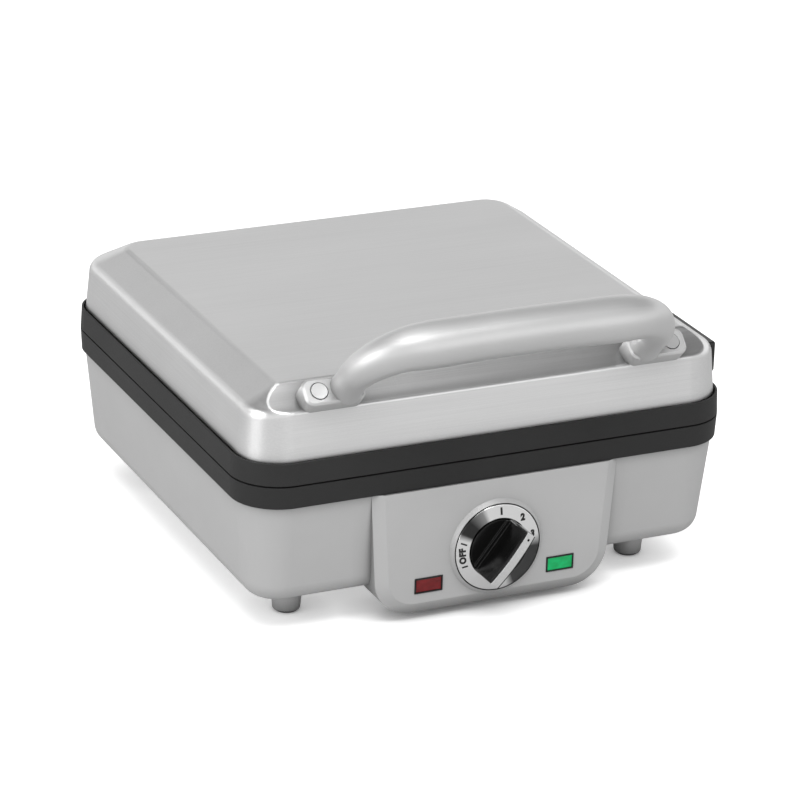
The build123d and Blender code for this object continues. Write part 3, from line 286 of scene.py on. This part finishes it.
def chrome_with_painted_reflection(name):
    """Chrome of the dial ring, with the two dark sectors of a painted reflection in its colour."""
    shader = Shader(name)
    place = shader.node("SeparateXYZ", {"Vector": shader.place})
    rise = shader.calc("SUBTRACT", (place, "Z"), dial_height)
    angle = shader.calc("ARCTAN2", (place, "X"), rise)
    turns = shader.spread(angle, 0.0, 1.0, start=-math.pi, end=math.pi)
    fine = shader.noise(1500, detail=2.0)
    return shader.finish(
        # Painted reflection: dark sectors by angle round the ring
        Base_Color=shader.ramp(turns, [(turn, grey(value)) for turn, value in ring_painted_reflections]),
        Metallic=1.0,
        Roughness=shader.spread(fine, 0.06, 0.1),
        Normal=shader.relief(fine, strength=0.01, depth=grain_depth, edge=0.0003),
    )


def pointer_steel(name):
    """Bright strip along the knob, with a dark dot at its pointing end and a dark far side."""
    shader = Shader(name)
    place = shader.node("SeparateXYZ", {"Vector": shader.place})
    flat = shader.node("CombineXYZ", {"X": (place, "X"), "Z": (place, "Z")}), "Vector"
    turn = math.radians(knob_angle)
    middle = Vector((0, 0, dial_height))
    outward = Vector((math.sin(turn), 0, math.cos(turn)))
    sideward = Vector((math.cos(turn), 0, -math.sin(turn)))
    away = shader.node("VectorMath", {0: flat, 1: middle + outward * dot_reach}, operation="DISTANCE")
    dot = shader.spread((away, "Value"), 1.0, 0.0, *dot_fade)
    side = shader.node("VectorMath", {0: flat, 1: sideward}, operation="DOT_PRODUCT")
    fade = [middle.dot(sideward) + distance for distance in side_fade]
    dark_side = shader.spread((side, "Value"), 0.0, 1.0, *fade)
    grain = shader.noise(700)
    colour = shader.node("Mix", {
        "Factor": shader.calc("MAXIMUM", dot, dark_side),
        "A": shader.tint(grain, greys(0.78, 0.88)),
        "B": (*grey(0.01), 1),
    }, data_type="RGBA")
    return shader.finish(
        Base_Color=(colour, "Result"),
        Metallic=1.0,
        Roughness=shader.spread(grain, 0.2, 0.26),
        Normal=shader.relief(grain, strength=0.02, depth=grain_depth, edge=0.0003),
    )


# Materials by slot, and the nodes that have one of their own
looks = {
    "silver_paint": silver_coat("silver_paint", greys(0.56, 0.59)),
    "charcoal_plastic": coating(
        "charcoal", greys(0.025, 0.031), (0.5, 0.58),
        grain=1800, bump=0.25, edge=0.0005, specular=0.25,
    ),
    "black_plastic": coating("black_plastic", greys(0.007, 0.010), (0.3, 0.4), grain=1500),
    "knob_black": coating(
        "knob_black", greys(0.002, 0.004), (0.14, 0.2), bump=0.03, edge=0.0008, specular=0.35
    ),
    "brushed_lid": brushed("brushed_lid", greys(0.77, 0.87), (0.30, 0.38)),
    # The handle's colour has shade painted into its corners, where the legs meet the pads
    "handle_metal": coating(
        "handle_metal", greys(0.68, 0.72), (0.47, 0.51),
        metal=0.9, grain=3000, bump=0.06, edge=0.0008, shade=0.012,
    ),
    "bright_steel": coating(
        "bright_steel", greys(0.68, 0.72), (0.3, 0.36), metal=0.7, grain=1500, bump=0.02
    ),
    "chrome_ring": chrome_with_painted_reflection("chrome_ring"),
    "red_lens": lens("red_lens", ((0.09, 0.003, 0.004), (0.16, 0.006, 0.008)), glow=0.3),
    "green_lens": lens("green_lens", ((0.0, 0.24, 0.06), (0.0, 0.36, 0.11)), glow=0.5),
    "lamp_glass": coating("lamp_glass", greys(0.6, 0.7, warm=0.1), (0.05, 0.1), grain=800, bump=0.05),
    "rubber": coating("rubber", greys(0.02, 0.03), (0.7, 0.8), grain=1200, bump=0.3),
    "plate_coating": coating("plate_coating", greys(0.014, 0.02), (0.3, 0.42), metal=0.2, grain=1600),
    "element_steel": coating("element_steel", greys(0.3, 0.4), (0.3, 0.45), metal=1.0, bump=0.1),
    "tray_aluminium": brushed("tray_aluminium", greys(0.68, 0.76), (0.3, 0.4)),
    "thermostat_ceramic": coating("ceramic", greys(0.5, 0.6, warm=0.1), (0.6, 0.7)),
}
own_looks = {
    # Painted light: the pod gets the housing's silver paint a little lighter, for the light its face gets
    "control_pod": silver_coat("silver_paint_lit_copy", greys(0.57, 0.60)),
    "pointer_strip": pointer_steel("pointer_strip"),
}
slots = {part["node"]: part["material_slot"] for part in frame["record"]["subparts"]}
for name, piece in nodes.items():
    piece.data.materials.clear()
    piece.data.materials.append(own_looks.get(name, looks[slots[name]]))

# The print lies on the ring's band, which slopes back towards its rim
print_ink = coating("print_ink", greys(0.004, 0.007), (0.4, 0.5), bump=0.02, edge=0.0)
print_front = ring_high.y - ring_edge - ring_crown * (ring_radius - print_radius) / ring_band
band_slope = math.atan(ring_crown / ring_band)


def text_mesh(body, size):
    """Mesh of a short text, thin and flat, with its middle at the origin."""
    curve = bpy.data.curves.new("dial_text", "FONT")
    curve.body = body
    curve.size = size
    curve.align_x = "CENTER"
    curve.align_y = "CENTER"
    curve.extrude = print_depth
    curve.offset = size * print_boldness
    curve.space_character = print_spacing
    text = bpy.data.objects.new("dial_text", curve)
    scene.collection.objects.link(text)
    bpy.context.view_layer.update()
    mesh = bpy.data.meshes.new_from_object(text.evaluated_get(bpy.context.evaluated_depsgraph_get()))
    bpy.data.objects.remove(text)
    return mesh


def dial_mark(body, angle, size, turn):
    """Text on the ring at an angle, turned about its own middle."""
    around = math.radians(angle)
    radial = Vector((math.sin(around), 0, math.cos(around)))
    facing = Vector((0, -math.cos(band_slope), 0)) + radial * math.sin(band_slope)
    spin = math.radians(turn)
    right = Vector((math.sin(spin), 0, math.cos(spin))).cross(facing).normalized()
    up = facing.cross(right).normalized()
    centre = Vector((0, print_front, dial_height)) + radial * print_radius + facing * print_lift
    mesh = text_mesh(body, size)
    mesh.transform(Matrix.Translation(centre) @ Matrix((right, up, facing)).transposed().to_4x4())
    mesh.materials.append(print_ink)
    piece = bpy.data.objects.new("dial_mark_" + str(angle % 360), mesh)
    scene.collection.objects.link(piece)
    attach(piece, "base")


for mark in dial_marks:
    dial_mark(*mark)

# Floor: white to the camera away from the object, darker right under its edges, partly from real shadow
# and partly from a painted shadow where its glow fades
floor_shader = Shader("floor")
rays = floor_shader.node("LightPath", {})
# Painted shadow: ambient occlusion takes away the floor's glow close to the object
painted_contact_shadow = floor_shader.node("AmbientOcclusion", {"Distance": painted_shadow_reach}, samples=12)
floor_colour = floor_shader.node("Mix", {
    "Factor": (rays, "Is Camera Ray"), "A": (*grey(floor_given), 1), "B": (*grey(floor_seen), 1)
}, data_type="RGBA")
glow_outside_painted_shadow = floor_shader.calc("MULTIPLY", (painted_contact_shadow, "AO"), (rays, "Is Camera Ray"))
floor_material = floor_shader.finish(
    Base_Color=(floor_colour, "Result"),
    Roughness=0.9,
    Emission_Color=(1, 1, 1, 1),
    Emission_Strength=floor_shader.calc("MULTIPLY", glow_outside_painted_shadow, floor_glow),
)
corners = [(x * floor_half_side, y * floor_half_side, 0) for x, y in ((-1, -1), (1, -1), (1, 1), (-1, 1))]
floor_mesh = bpy.data.meshes.new("floor")
floor_mesh.from_pydata(corners, [], [(0, 1, 2, 3)])
floor_mesh.materials.append(floor_material)
floor = bpy.data.objects.new("floor", floor_mesh)
scene.collection.objects.link(floor)

# World: white for the camera and through glass, an even level as light, dimmer overhead in reflections
world = bpy.data.worlds.new("studio")
world.use_nodes = True
world.cycles.sampling_method = "NONE"
scene.world = world
sky = Graph(world.node_tree)
rays = sky.node("LightPath", {})
coordinates = sky.node("TexCoord", {})
direction = sky.node("SeparateXYZ", {"Vector": (coordinates, "Generated")})
mirrored = sky.spread((direction, "Z"), *mirror_levels, *mirror_heights)
given = sky.node("Mix", {"Factor": (rays, "Is Glossy Ray"), "A": light_level, "B": mirrored})
seen = sky.calc("MAXIMUM", (rays, "Is Camera Ray"), (rays, "Is Transmission Ray"))
level = sky.node("Mix", {"Factor": seen, "A": (given, "Result"), "B": 1.0})
background = sky.node("Background", {"Color": (1, 1, 1, 1), "Strength": (level, "Result")})
sky.node("OutputWorld", {"Surface": (background, "Background")})

for name, place, target, size, power in softboxes:
    light = bpy.data.lights.new(name, "AREA")
    light.shape = "RECTANGLE"
    light.size, light.size_y = size
    light.energy = power
    softbox = bpy.data.objects.new(name, light)
    softbox.location = place
    softbox.rotation_euler = (Vector(target) - Vector(place)).to_track_quat("-Z", "Y").to_euler()
    scene.collection.objects.link(softbox)

camera_data = bpy.data.cameras.new("camera")
camera_data.sensor_width = sensor_width
camera_data.lens = focal_pixels * sensor_width / frame_pixels
camera = bpy.data.objects.new("camera", camera_data)
camera_angles = Euler([math.radians(angle) for angle in camera_turn])
camera.matrix_world = Matrix.LocRotScale(Vector(camera_place), camera_angles, None)
scene.collection.objects.link(camera)
scene.camera = camera

scene.view_settings.view_transform = "Standard"
